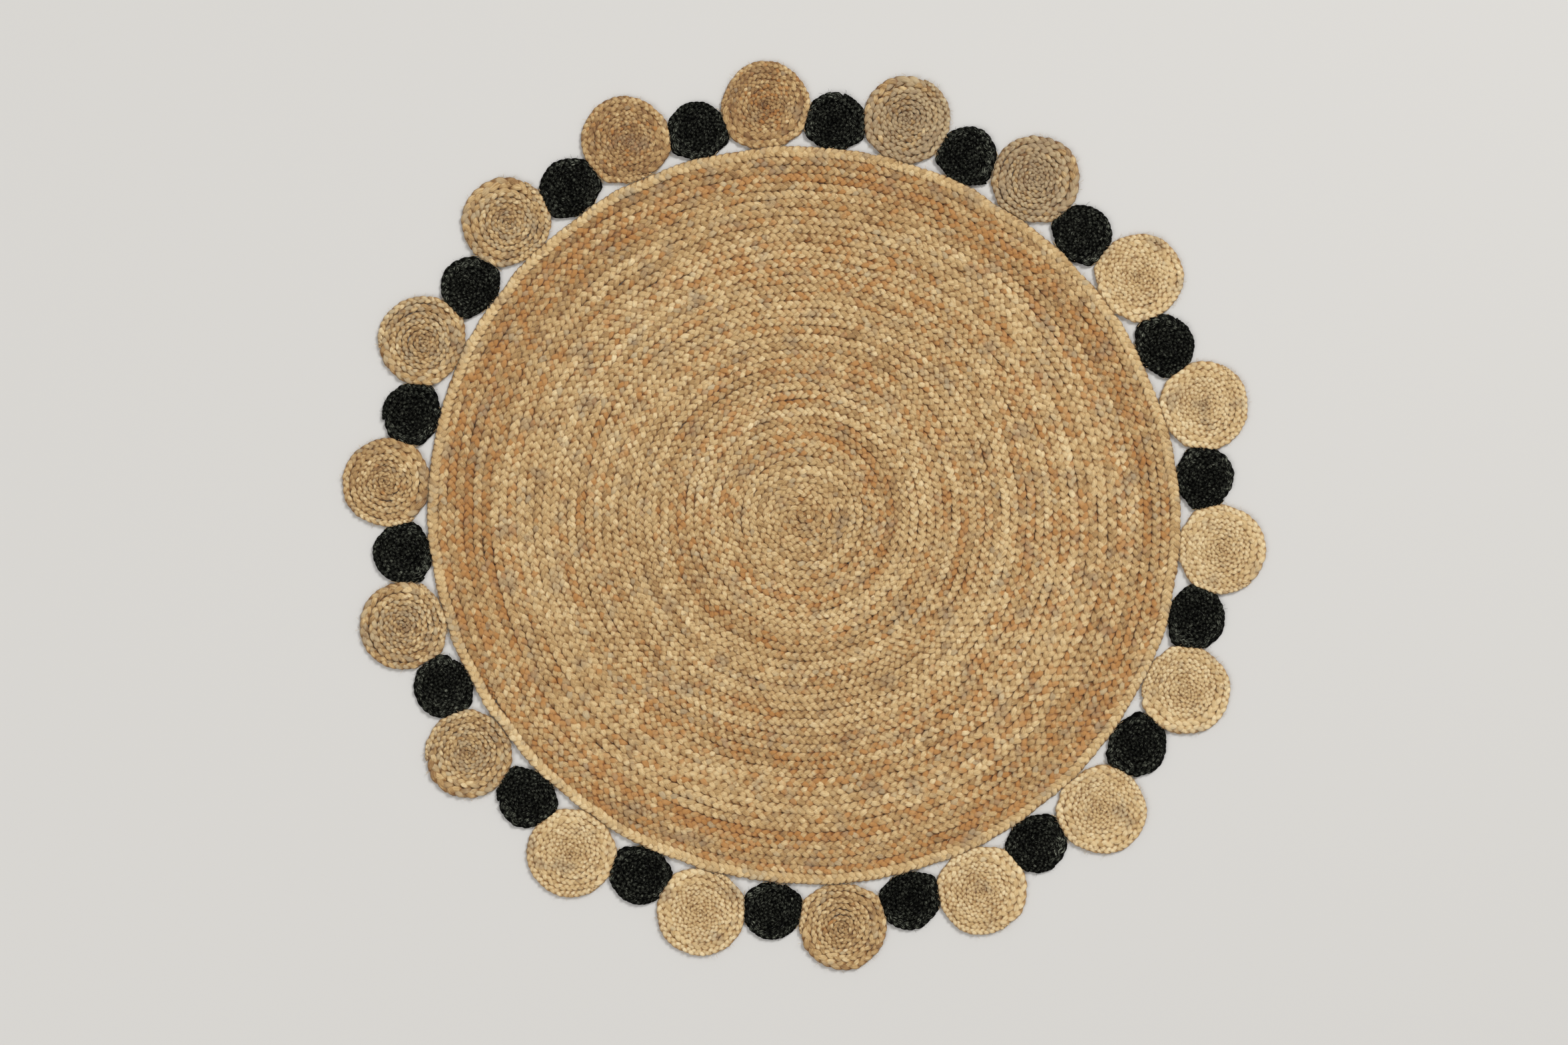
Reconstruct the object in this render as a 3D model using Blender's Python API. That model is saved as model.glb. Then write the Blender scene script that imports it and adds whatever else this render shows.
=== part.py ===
"""Area rug: a coiled jute mat, its edge braid, and a border of small coiled discs sewn on with thread.

Units are metres and +Z is up. The origin is the middle of the mat, on the floor. Every coil is a plain
closed slab of the outline and thickness that its plait fills. Run it in Blender's text editor, or with
blender --background --python part.py
"""

import math

import bmesh
import bpy
from mathutils import Vector

# Mat and the braid round its edge
MAT_RADIUS = 0.587
MAT_THICKNESS = 0.009
MAT_OVAL = 0.015  # a hand-coiled mat is this share longer one way, and as much shorter across
EDGE_BRAID_WIDTH = 0.0155
EDGE_BRAID_THICKNESS = 0.0095

# Border: large natural discs and small black discs in turn
PAIRS = 18
FIRST_NATURAL_ANGLE = math.radians(15.4)
NATURAL_RADIUS = 0.0713
NATURAL_THICKNESS = 0.009
BLACK_THICKNESS = 0.009
PRESSED_ON_MAT = 0.0025  # how much of a disc's round edge is pressed flat where it is sewn
PRESSED_TOGETHER = 0.0013

# Seams. A disc's edge is drawn out to the ends of its seams
NATURAL_MAT_SEAM = 0.048
BLACK_MAT_SEAM = 0.034
SEAM_OUTER_REACH = 0.018  # from where two discs touch to the seam's end on the outer side
OPEN_TRIANGLE = 0.022  # floor that shows between two discs and the mat, along their seam

# Thread and fits
THREAD_DIAMETER = 0.0016
SEAM_GAP = 0.0003
FLOOR_CLEARANCE = 0.0001
THREAD_TURN = 0.004  # how far past the end of a seam the thread goes down to the underside

# Fineness of the faceted solids
RIM_STEPS = 90
LARGEST_STEP = math.radians(19)
THREAD_SECTION = 1

# Colours (linear), with one tone of jute for each natural disc in turn
GOLDEN = (0.46, 0.29, 0.13)
STRAW = (0.58, 0.43, 0.24)
GREYISH = (0.42, 0.32, 0.20)
TAN = (0.47, 0.31, 0.16)
DYED_BLACK = (0.012, 0.012, 0.011)
THREAD_COLOUR = (0.50, 0.40, 0.25)
DISC_TONES = (
    [STRAW, STRAW, GREYISH, GREYISH, TAN, TAN, STRAW, GREYISH, TAN]
    + [TAN, TAN, STRAW, STRAW, STRAW, STRAW, STRAW, STRAW, STRAW]
)

# What follows from the sizes above
PITCH = 2 * math.pi / PAIRS
OVAL_ANGLE = FIRST_NATURAL_ANGLE + 7 * PITCH  # the mat's long way runs through a natural disc
THREAD_RADIUS = THREAD_DIAMETER / 2
SEAT_HEIGHT = (THREAD_RADIUS + SEAM_GAP) * math.sqrt(2)  # of a thread over the foot of its groove
EDGE_CHAMFER = SEAT_HEIGHT + THREAD_RADIUS + FLOOR_CLEARANCE


def direction(angle):
    """The unit vector at an angle in the plane of the rug."""
    return Vector((math.cos(angle), math.sin(angle)))


def angle_of(vector):
    return math.atan2(vector.y, vector.x)


def wrapped(angle):
    """The same angle, from -pi to pi."""
    return (angle + math.pi) % (2 * math.pi) - math.pi


def mat_edge(angle):
    """How far the mat's own edge lies from the middle."""
    return MAT_RADIUS * (1 + MAT_OVAL * math.cos(2 * (angle - OVAL_ANGLE)))


def rim(angle):
    """How far the outer side of the edge braid lies from the middle."""
    return mat_edge(angle) + SEAM_GAP + EDGE_BRAID_WIDTH


def loop_at(reach):
    """Points all round the rug, each as far out as reach(angle) says."""
    angles = [2 * math.pi * step / RIM_STEPS for step in range(RIM_STEPS)]
    return [reach(angle) * direction(angle) for angle in angles]


def centre_distance(radius):
    """How far from the middle a disc lies that is sewn to the rim of a round mat."""
    return MAT_RADIUS + 2 * SEAM_GAP + EDGE_BRAID_WIDTH + radius - PRESSED_ON_MAT


def closing_radius():
    """The radius of a black disc that just fills the space between two natural discs."""
    low, high = 0.0, 4 * NATURAL_RADIUS
    natural = Vector((centre_distance(NATURAL_RADIUS), 0))
    for _ in range(50):
        middle = (low + high) / 2
        black = centre_distance(middle) * direction(PITCH / 2)
        if (black - natural).length > NATURAL_RADIUS + middle - PRESSED_TOGETHER:
            low = middle
        else:
            high = middle
    return low


class Disc:
    """A coiled disc of the border, with the seams that shape its edge."""

    def __init__(self, name, angle, radius, thickness, mat_seam, colour):
        self.name = name
        self.radius = radius
        self.thickness = thickness
        self.colour = colour
        self.centre = (rim(angle) + SEAM_GAP + radius - PRESSED_ON_MAT) * direction(angle)
        half = mat_seam / 2 / rim(angle)
        self.mat_corners = [on_rim(angle - half), on_rim(angle + half)]
        self.sides = {}  # +1 is the seam that comes next anticlockwise, -1 the one before
        self.walls = []

    def corners(self):
        """The ends of all three seams."""
        return self.mat_corners + [end for ends in self.sides.values() for end in ends]

    def edge_at(self, way):
        """The point of the disc's edge that lies in one direction from its centre."""
        reach = self.radius
        for corner in self.corners():
            offset = corner - self.centre
            turn = abs(wrapped(way - angle_of(offset)))
            swing = math.acos(min(1.0, self.radius / offset.length))
            if turn < swing:
                reach = max(reach, self.radius / math.cos(swing - turn))
        for point, normal in self.walls:
            towards = direction(way).dot(normal)
            if towards > 0:
                reach = min(reach, (point - self.centre).dot(normal) / towards)
        edge = self.centre + reach * direction(way)
        if edge.length < rim(angle_of(edge)) + SEAM_GAP:
            edge = on_rim(angle_of(edge))
        return edge

    def outline(self, start=None, end=None):
        """Points along the edge, anticlockwise from one corner to another, or all round."""
        ways = sorted(angle_of(corner - self.centre) for corner in self.corners())
        if start is not None:
            first = angle_of(start - self.centre)
            ways = sorted((way - first) % (2 * math.pi) for way in ways)
            last = (angle_of(end - self.centre) - first) % (2 * math.pi)
            ways = [first + way for way in ways if way < last + 1e-6]
        else:
            ways.append(ways[0] + 2 * math.pi)
        points = []
        for here, there in zip(ways, ways[1:]):
            steps = math.ceil((there - here) / LARGEST_STEP)
            points += [self.edge_at(here + (there - here) * step / steps) for step in range(steps)]
        if start is not None:
            points.append(self.edge_at(ways[-1]))
        return points


def on_rim(angle):
    """A point that lies against the edge braid."""
    return (rim(angle) + SEAM_GAP) * direction(angle)


def sew(disc, neighbour):
    """Gives two discs their straight seam. The neighbour is the next one anticlockwise."""
    across = neighbour.centre - disc.centre
    spacing = across.length
    normal = across / spacing
    share = (spacing**2 + disc.radius**2 - neighbour.radius**2) / (2 * spacing)
    touch = disc.centre + share * normal
    outward = Vector((normal.y, -normal.x))
    slant = outward.dot(direction(angle_of(touch)))
    inner_reach = (touch.length - rim(angle_of(touch)) - OPEN_TRIANGLE) / slant
    outer_end = touch + SEAM_OUTER_REACH * outward
    inner_end = touch - inner_reach * outward
    for piece, side, away in ((disc, 1, normal), (neighbour, -1, -normal)):
        set_back = away * SEAM_GAP / 2
        piece.sides[side] = (outer_end - set_back, inner_end - set_back)
        piece.walls.append((touch - set_back, away))


def material(name, colour, roughness=0.85):
    made = bpy.data.materials.new(name)
    made.use_nodes = True
    shader = made.node_tree.nodes["Principled BSDF"]
    shader.inputs["Base Color"].default_value = (*colour, 1)
    shader.inputs["Roughness"].default_value = roughness
    shader.inputs["Metallic"].default_value = 0.0
    return made


def slab(name, outer, inner, thickness, colour):
    """A flat solid between two outlines, or inside one, with chamfered top and bottom edges."""
    bm = bmesh.new()
    heights = (0.0, thickness)
    rings = [[bm.verts.new((p.x, p.y, z)) for p in outer] for z in heights]
    walls = [rings]
    if inner:
        walls.append([[bm.verts.new((p.x, p.y, z)) for p in inner] for z in heights])
        walls += [(walls[0][0], walls[1][0]), (walls[0][1], walls[1][1])]
    else:
        for ring in rings:
            bm.faces.new(ring)
    for first, second in walls:
        for i in range(len(first)):
            bm.faces.new((first[i - 1], first[i], second[i], second[i - 1]))
    bmesh.ops.recalc_face_normals(bm, faces=bm.faces)
    mesh = bpy.data.meshes.new(name)
    bm.to_mesh(mesh)
    bm.free()
    mesh.shade_smooth()
    mesh.set_sharp_from_angle(angle=math.radians(30))
    mesh.materials.append(material(name, colour))
    solid = bpy.data.objects.new(name, mesh)
    bpy.context.scene.collection.objects.link(solid)
    chamfer = solid.modifiers.new("edge chamfer", "BEVEL")
    chamfer.width = EDGE_CHAMFER
    chamfer.segments = 1
    chamfer.limit_method = "ANGLE"
    chamfer.angle_limit = math.radians(70)


def thread(name, points, closed=False):
    """A round thread along a path of points."""
    path = bpy.data.curves.new(name, "CURVE")
    path.dimensions = "3D"
    path.bevel_depth = THREAD_RADIUS
    path.bevel_resolution = THREAD_SECTION
    path.use_fill_caps = True
    spline = path.splines.new("POLY")
    spline.points.add(len(points) - 1)
    for knot, (x, y, z) in zip(spline.points, points):
        knot.co = (x, y, z, 1)
    spline.use_cyclic_u = closed
    path.materials.append(material(name, THREAD_COLOUR, 0.8))
    bpy.context.scene.collection.objects.link(bpy.data.objects.new(name, path))


def groove_height(*thicknesses):
    """The height of a thread that lies in the top groove between two pieces."""
    return max(thicknesses) - EDGE_CHAMFER + SEAT_HEIGHT


def joining_path(black, natural):
    """One thread's way: over the seams of a black disc, then under those of the next natural disc."""
    over_disc = groove_height(NATURAL_THICKNESS, BLACK_THICKNESS)
    over_rim = groove_height(BLACK_THICKNESS, EDGE_BRAID_THICKNESS)
    under = EDGE_CHAMFER - SEAT_HEIGHT
    path = []
    for point in reversed(black.outline(black.sides[1][0], black.sides[-1][0])):
        by_mat = point.length - rim(angle_of(point)) < OPEN_TRIANGLE / 2
        path.append((*point, over_rim if by_mat else over_disc))
    outer_end, inner_end = black.sides[1]
    turn = outer_end + (outer_end - inner_end).normalized() * THREAD_TURN
    path += [(*turn, over_disc), (*turn, under)]
    below = reversed(natural.outline(natural.mat_corners[1], natural.sides[-1][0]))
    return path + [(*point, under) for point in below]


def build_mat():
    edge = loop_at(mat_edge)
    slab("mat_coil", edge, None, MAT_THICKNESS, GOLDEN)
    inside = loop_at(lambda angle: mat_edge(angle) + SEAM_GAP)
    slab("edge_braid", loop_at(rim), inside, EDGE_BRAID_THICKNESS, STRAW)
    seam = loop_at(lambda angle: mat_edge(angle) + SEAM_GAP / 2)
    height = groove_height(MAT_THICKNESS, EDGE_BRAID_THICKNESS)
    thread("edge_seam_thread", [(*point, height) for point in seam], closed=True)


def build_border():
    black_radius = closing_radius()
    discs = []
    for pair in range(PAIRS):
        number = f"{pair + 1:02d}"
        angle = FIRST_NATURAL_ANGLE + pair * PITCH
        natural = ("natural_disc_" + number, angle, NATURAL_RADIUS, NATURAL_THICKNESS)
        black = ("black_disc_" + number, angle + PITCH / 2, black_radius, BLACK_THICKNESS)
        discs.append(Disc(*natural, NATURAL_MAT_SEAM, DISC_TONES[pair % len(DISC_TONES)]))
        discs.append(Disc(*black, BLACK_MAT_SEAM, DYED_BLACK))
    for here in range(2 * PAIRS):
        sew(discs[here - 1], discs[here])
    for disc in discs:
        slab(disc.name, disc.outline(), None, disc.thickness, disc.colour)
    for pair in range(PAIRS):
        path = joining_path(discs[2 * pair + 1], discs[(2 * pair + 2) % (2 * PAIRS)])
        thread(f"joining_thread_{pair + 1:02d}", path)


for leftover in list(bpy.data.objects):
    bpy.data.objects.remove(leftover)
build_mat()
build_border()
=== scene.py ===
# %% [markdown]
# # A round rug of plaited jute
#
# The rug is made of one thing, repeated: a flat plait of three jute strands. One long golden plait is
# coiled into the round mat, a paler plait runs round the mat's edge, and short plaits are coiled into the
# discs of the border, large natural ones and small ones dyed black in turn. Thread sews every coil together.
#
# So the lesson is: describe one plait well, as a Geometry Nodes tree, then send it along many different
# lines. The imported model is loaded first, as a fixed frame. Every size and place below is read from it.

import math

import bpy
import numpy as np
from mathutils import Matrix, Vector


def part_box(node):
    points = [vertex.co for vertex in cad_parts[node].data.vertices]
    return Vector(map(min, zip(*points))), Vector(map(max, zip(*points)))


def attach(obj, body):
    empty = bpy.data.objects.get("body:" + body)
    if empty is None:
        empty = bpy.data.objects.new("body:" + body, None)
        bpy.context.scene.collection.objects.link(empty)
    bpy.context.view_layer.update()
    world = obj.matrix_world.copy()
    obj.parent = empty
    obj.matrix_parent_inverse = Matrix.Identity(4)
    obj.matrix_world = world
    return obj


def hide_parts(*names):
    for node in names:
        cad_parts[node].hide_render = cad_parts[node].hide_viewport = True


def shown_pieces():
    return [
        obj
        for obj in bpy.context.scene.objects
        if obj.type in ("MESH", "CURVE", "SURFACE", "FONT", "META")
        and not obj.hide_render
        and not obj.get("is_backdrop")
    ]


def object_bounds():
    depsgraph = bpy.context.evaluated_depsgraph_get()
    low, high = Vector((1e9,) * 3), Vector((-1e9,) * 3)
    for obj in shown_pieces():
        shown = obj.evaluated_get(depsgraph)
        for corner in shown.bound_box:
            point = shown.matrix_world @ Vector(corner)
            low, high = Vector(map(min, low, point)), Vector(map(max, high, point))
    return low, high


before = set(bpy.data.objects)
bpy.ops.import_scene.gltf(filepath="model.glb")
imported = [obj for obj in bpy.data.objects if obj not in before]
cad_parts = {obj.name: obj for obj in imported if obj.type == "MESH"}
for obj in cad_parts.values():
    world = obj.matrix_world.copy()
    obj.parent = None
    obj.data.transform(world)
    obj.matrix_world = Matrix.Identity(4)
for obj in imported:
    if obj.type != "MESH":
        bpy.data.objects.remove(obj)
cad_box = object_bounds()
FULL_TURN = 2 * math.pi
rug_size = cad_box[1] - cad_box[0]
print("the frame is", [round(side, 4) for side in rug_size], "metres")

# %% [markdown]
# ## Writing nodes as formulas
#
# Both geometry and materials are node trees, and a tree wired node by node is hard to read. Two small
# classes let a formula be written as a formula: a Wire is a socket that can be added, multiplied or
# compared, and a Bench is the tree that it belongs to, with one method that adds any node.


# %% Wires and the bench they lie on
class Wire:
    """A node's output. Arithmetic on it adds Math nodes."""

    def __init__(self, bench, socket):
        self.bench = bench
        self.socket = socket

    def math(self, operation, *values):
        return self.bench.add("ShaderNodeMath", values, operation=operation)

    def __add__(self, other):
        return self.math("ADD", self, other)

    def __sub__(self, other):
        return self.math("SUBTRACT", self, other)

    def __rsub__(self, other):
        return self.math("SUBTRACT", other, self)

    def __mul__(self, other):
        return self.math("MULTIPLY", self, other)

    def __truediv__(self, other):
        return self.math("DIVIDE", self, other)

    def __pow__(self, other):
        return self.math("POWER", self, other)

    def __abs__(self):
        return self.math("ABSOLUTE", self)

    __radd__ = __add__

    def sin(self):
        return self.math("SINE", self)

    def at_least(self, lowest):
        return self.math("MAXIMUM", self, lowest)

    def between(self, low, high):
        """0 below low and 1 above high, with a soft rise between them."""
        sockets = {"Value": self, "From Min": low, "From Max": high}
        return self.bench.add("ShaderNodeMapRange", sockets, interpolation_type="SMOOTHSTEP")


class Bench:
    """A node tree, and the one method that adds any node to it."""

    def __init__(self, tree):
        self.tree = tree

    def plug(self, socket, value):
        if isinstance(value, Wire):
            self.tree.links.new(value.socket, socket)
        elif value is not None:
            socket.default_value = value

    def add(self, kind, sockets=(), out=0, stops=(), **settings):
        """Adds a node. Its sockets are given in order, or by name. Its output `out` comes back."""
        node = self.tree.nodes.new(kind)
        for name, value in settings.items():
            setattr(node, name, value)
        for number, (place, colour) in enumerate(stops):
            ramp = node.color_ramp.elements
            stop = ramp[number] if number < 2 else ramp.new(place)
            stop.position = place
            stop.color = (*colour, 1)
        usable = [socket for socket in node.inputs if socket.enabled]
        if isinstance(sockets, dict):
            by_name = {socket.name: socket for socket in reversed(usable)}
            for name, value in sockets.items():
                self.plug(by_name[name], value)
        else:
            for socket, value in zip(usable, sockets):
                self.plug(socket, value)
        given = [socket for socket in node.outputs if socket.enabled]
        return Wire(self, node.outputs[out] if isinstance(out, str) else given[out])

    def vector(self, x=0.0, y=0.0, z=0.0):
        return self.add("ShaderNodeCombineXYZ", [x, y, z])

    def part(self, vector, axis):
        return self.add("ShaderNodeSeparateXYZ", [vector], out=axis)

    def vector_math(self, operation, *values):
        return self.add("ShaderNodeVectorMath", values, operation=operation)

    def scaled(self, vector, factor):
        return self.add("ShaderNodeVectorMath", {"Vector": vector, "Scale": factor}, operation="SCALE")


print("a formula can now be written as a formula")

# %% [markdown]
# ## One way to open, close and run a tree
#
# Every Geometry Nodes tree here takes a line or some points, and ends alike. Copies are made real, because
# an exported model keeps no instances. A texture map is stored, on which the piece lies as it is seen from
# above. Then come smooth shading and the finish. The result is kept as a plain mesh, with no modifier.


# %% Geometry Nodes from first input to plain mesh
def geometry_bench(name, **sizes):
    """A new Geometry Nodes tree with named inputs, and the wires that its inputs give."""
    tree = bpy.data.node_groups.new(name, "GeometryNodeTree")
    kinds = {float: "NodeSocketFloat", int: "NodeSocketInt", tuple: "NodeSocketVector"}
    tree.interface.new_socket("Geometry", in_out="INPUT", socket_type="NodeSocketGeometry")
    tree.interface.new_socket("Geometry", in_out="OUTPUT", socket_type="NodeSocketGeometry")
    every_tree = {"MapCorner": (0.0, 0.0, 0.0), "MapSize": (1.0, 1.0, 1.0), "Finish": None}
    for label, value in {**sizes, **every_tree}.items():
        kind = kinds.get(type(value), "NodeSocketMaterial")
        socket = tree.interface.new_socket(label, in_out="INPUT", socket_type=kind)
        if value is not None:
            socket.default_value = value
    bench = Bench(tree)
    inlet = tree.nodes.new("NodeGroupInput")
    wires = {socket.name: Wire(bench, socket) for socket in inlet.outputs if socket.name}
    return bench, wires


def close_tree(bench, geometry, given):
    """Ends a tree: real geometry, its texture map, smooth shading, one finish."""
    real = bench.add("GeometryNodeRealizeInstances", [geometry])
    place = bench.add("GeometryNodeInputPosition")
    flat = bench.vector_math("SUBTRACT", place, given["MapCorner"])
    flat = bench.vector_math("DIVIDE", flat, given["MapSize"])
    sockets = {"Geometry": real, "Name": "OFBake", "Value": flat}
    mapped = bench.add("GeometryNodeStoreNamedAttribute", sockets, domain="CORNER", data_type="FLOAT2")
    smooth = bench.add("GeometryNodeSetShadeSmooth", [mapped])
    done = bench.add("GeometryNodeSetMaterial", {"Geometry": smooth, "Material": given["Finish"]})
    outlet = bench.tree.nodes.new("NodeGroupOutput")
    bench.plug(outlet.inputs[0], done)
    return bench.tree


def run_tree(tree, base, name, **sizes):
    """Sends a base mesh through a tree, and keeps the result as a plain mesh object."""
    piece = bpy.data.objects.new(name, base)
    bpy.context.scene.collection.objects.link(piece)
    modifier = piece.modifiers.new(tree.name, "NODES")
    modifier.node_group = tree
    inputs = [item for item in tree.interface.items_tree if item.in_out == "INPUT"]
    sockets = {item.name: item.identifier for item in inputs}
    for label, value in sizes.items():
        modifier[sockets[label]] = value
    depsgraph = bpy.context.evaluated_depsgraph_get()
    evaluated = piece.evaluated_get(depsgraph)
    made = bpy.data.meshes.new_from_object(evaluated, preserve_all_data_layers=True, depsgraph=depsgraph)
    piece.modifiers.clear()
    piece.data = made
    made.name = name
    bpy.data.meshes.remove(base)
    return piece


MAP_MARGIN = 0.012  # metres of free map round a piece


def map_room(points):
    """The square that a piece's texture map covers, seen from above, as inputs for its tree."""
    low = points[:, :2].min(0) - MAP_MARGIN
    size = float((points[:, :2].max(0) + MAP_MARGIN - low).max())
    return {"MapCorner": (float(low[0]), float(low[1]), 0.0), "MapSize": (size, size, 1.0)}


print("a tree can now be opened, closed and run")

# %% [markdown]
# ## The plait
#
# Seen from above, each strand of a three-strand plait swings from side to side like a sine wave, and it
# rises and dips twice as often, so it goes over its neighbour on the way in and under the next one. The
# three strands do the same thing a third of a swing apart. That is the whole rule, so Geometry Nodes can
# make any length: three copies of a line are moved by the two sines, and an oval section is swept along
# each. Slow noise then makes it handmade, because no strand is pulled equally tight all the way.
#
# The line brings three numbers with each of its points: how wide the plait is there, how far round its
# swing it is, and how many metres of plait lie behind it. The finish reads them too, so fibres follow
# their strand.


# %% How a strand moves off the plait's middle line
def stored(bench, label):
    """The number of this name that each point brings."""
    return bench.add("GeometryNodeInputNamedAttribute", {"Name": label}, data_type="FLOAT")


def with_number(bench, geometry, label, value):
    sockets = {"Geometry": geometry, "Name": label, "Value": value}
    return bench.add("GeometryNodeStoreNamedAttribute", sockets, domain="POINT", data_type="FLOAT")


def drifting(bench, given, scale, lane):
    """Slow noise along the plait, from about -0.3 to 0.3, the same for all three strands."""
    along = bench.vector(stored(bench, "travel") * scale, given["Seed"], lane)
    sockets = {"Vector": along, "Scale": 1.0, "Detail": 1.0}
    return bench.add("ShaderNodeTexNoise", sockets, out="Fac") - 0.5


def shaken(bench, where, scale, amount):
    """A small push in any direction, which changes slowly from place to place."""
    sockets = {"Vector": where, "Scale": scale, "Detail": 1.0}
    shake = bench.add("ShaderNodeTexNoise", sockets, out="Color")
    shake = bench.vector_math("SUBTRACT", shake, (0.5, 0.5, 0.5))
    return bench.scaled(shake, amount * 4)


def strand_offset(bench, given, phase, row, layer):
    """The swing sideways, the lift over a neighbour, and two shakes: of each leaf, and of the whole row."""
    tangent = bench.add("GeometryNodeInputTangent")
    side = bench.vector_math("CROSS_PRODUCT", tangent, (0, 0, 1))
    side = bench.vector_math("NORMALIZE", side)
    place = bench.add("GeometryNodeInputPosition")
    apart = bench.vector_math("ADD", place, bench.vector(0, 0, layer))
    leaf_shake = shaken(bench, apart, 80.0, given["Unevenness"])
    row_shake = shaken(bench, place, 14.0, given["Wander"])
    row_shake = bench.vector_math("MULTIPLY", row_shake, (1.0, 1.0, 0.12))

    size = (row / given["UsualRow"]) ** 0.4
    swing = phase.sin() * given["Swing"] * row
    lift = (phase * 2).sin() * given["Lift"] * given["Lay"] * size
    lift = lift + swing * drifting(bench, given, 11.0, 8.0) * given["Roll"]
    offset = bench.vector_math("ADD", bench.scaled(side, swing), bench.vector(0, 0, lift))
    offset = bench.vector_math("ADD", offset, leaf_shake)
    return bench.vector_math("ADD", offset, row_shake)


print("a strand can swing, lift, drift and shake")

# %% [markdown]
# ## A strand's section, and the whole tree
#
# A strand is a flat bundle, so its section is an oval with full sides. It is fuller in the middle of each
# visible leaf and thinner where it dives under. All rows lie equally thick in the end, whether wide or
# narrow, because a maker beats the rug flat, and no leaf hangs below the floor.

# %% The plait tree
STRANDS = 3
FLOOR_CLEARANCE = 0.0002  # metres between the floor and the lowest leaf


def strand_section(bench, given):
    """The oval that is swept along each strand. Its corners know how far across the strand they lie."""
    place = bench.add("GeometryNodeInputPosition")
    ring = bench.add("GeometryNodeCurvePrimitiveCircle", {"Resolution": given["Sides"], "Radius": 1.0})
    ring = with_number(bench, ring, "across", bench.part(place, "X"))
    thick = given["StrandThickness"] / given["UsualRow"]
    pressed = 1 + abs(bench.part(place, "Y")) * given["Flatness"]
    oval = bench.vector(given["StrandWidth"] * pressed, thick, 1.0)
    oval = bench.vector_math("MULTIPLY", place, oval)
    return bench.add("GeometryNodeSetPosition", {"Geometry": ring, "Position": oval})


def strand_fullness(bench, given, phase, layer):
    """How full a strand is: most in the middle of a leaf, and less in a few thin spots."""
    full_leaf = (phase * 4 - math.pi / 2).sin() * given["Bulge"] / 2
    thin_spots = {"Vector": bench.vector(phase * 0.45, layer, 0.0), "Scale": 1.0, "Detail": 1.0}
    thin_spots = bench.add("ShaderNodeTexNoise", thin_spots, out="Fac")
    return 0.72 + full_leaf + thin_spots * 0.56


def beaten_flat(bench, given, plait, row):
    """Evens out the height of wide and narrow rows, and orders the faces from the floor up.

    Where two faces share a place on the texture map, the upper one comes last, so it is the one that stays.
    """
    place = bench.add("GeometryNodeInputPosition")
    x, y, z = (bench.part(place, axis) for axis in "XYZ")
    level = stored(bench, "level")
    even = level + (z - level) * (given["UsualRow"] / row) ** 0.6
    even = bench.vector(x, y, even.at_least(FLOOR_CLEARANCE))
    plait = bench.add("GeometryNodeSetPosition", {"Geometry": plait, "Position": even})
    return bench.add("GeometryNodeSortElements", {"Geometry": plait, "Sort Weight": z}, domain="FACE")


def plait_tree():
    bench, given = geometry_bench(
        "Three-strand plait",
        Swing=0.295,
        Lift=0.0019,
        StrandWidth=0.32,
        StrandThickness=0.0021,
        UsualRow=0.0133,
        Flatness=0.25,
        Bulge=0.07,
        Unevenness=0.0011,
        Wander=0.0022,
        Hurry=1.8,
        Roll=1.3,
        Lay=1.0,
        Seed=0,
        Sides=6,
    )
    line = bench.add("GeometryNodeMeshToCurve", [given["Geometry"]])
    copies = {"Geometry": line, "Amount": STRANDS}
    strands = bench.add("GeometryNodeDuplicateElements", copies, domain="SPLINE")
    index = Wire(bench, strands.socket.node.outputs["Duplicate Index"])
    strands = with_number(bench, strands, "strand", index * 1.0)

    row = stored(bench, "row_width")
    pull = drifting(bench, given, 22.0, 3.0) * given["Hurry"]
    phase = stored(bench, "phase") + stored(bench, "strand") * (FULL_TURN / STRANDS) + pull
    layer = given["Seed"] * 3.7 + stored(bench, "strand") * 0.9
    offset = strand_offset(bench, given, phase, row, layer)
    strands = bench.add("GeometryNodeSetPosition", {"Geometry": strands, "Offset": offset})
    place = bench.add("GeometryNodeInputPosition")
    strands = with_number(bench, strands, "level", bench.part(place, "Z"))
    strands = bench.add("GeometryNodeSetCurveNormal", [strands], mode="Z_UP")

    size = row * strand_fullness(bench, given, phase, layer)
    section = strand_section(bench, given)
    sweep = {"Curve": strands, "Profile Curve": section, "Scale": size, "Fill Caps": True}
    plait = bench.add("GeometryNodeCurveToMesh", sweep)
    return close_tree(bench, beaten_flat(bench, given, plait, row), given)


PLAIT = plait_tree()
print("the plait tree has", len(PLAIT.nodes), "nodes")

# %% [markdown]
# ## Outlines for the coils to fill
#
# A coil fills an outline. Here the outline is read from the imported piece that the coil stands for, so a
# disc that is pressed flat against its neighbours gets rows that are pressed flat too. An outline is kept
# as a reach: how far it lies from its middle, in each of many directions.

# %% Outlines read from the frame
DIRECTIONS = np.linspace(0, FULL_TURN, 720, endpoint=False)
PLUMPNESS = 0.0008  # how far the leaves of an outer row stand out past the row itself


def smooth(value):
    value = np.clip(value, 0, 1)
    return value * value * (3 - 2 * value)


def corners_of(node):
    """A packed slab's corners at its full width, seen from above. Its rounded rims are left out."""
    low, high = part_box(node)
    points = np.array([vertex.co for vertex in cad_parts[node].data.vertices])
    middle_height = (low.z + high.z) / 2
    full_width = np.abs(points[:, 2] - middle_height) < 0.3 * (high.z - low.z)
    return points[full_width, :2]


def sorted_pair(keys, values):
    order = np.argsort(keys)
    return keys[order], values[order]


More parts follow.
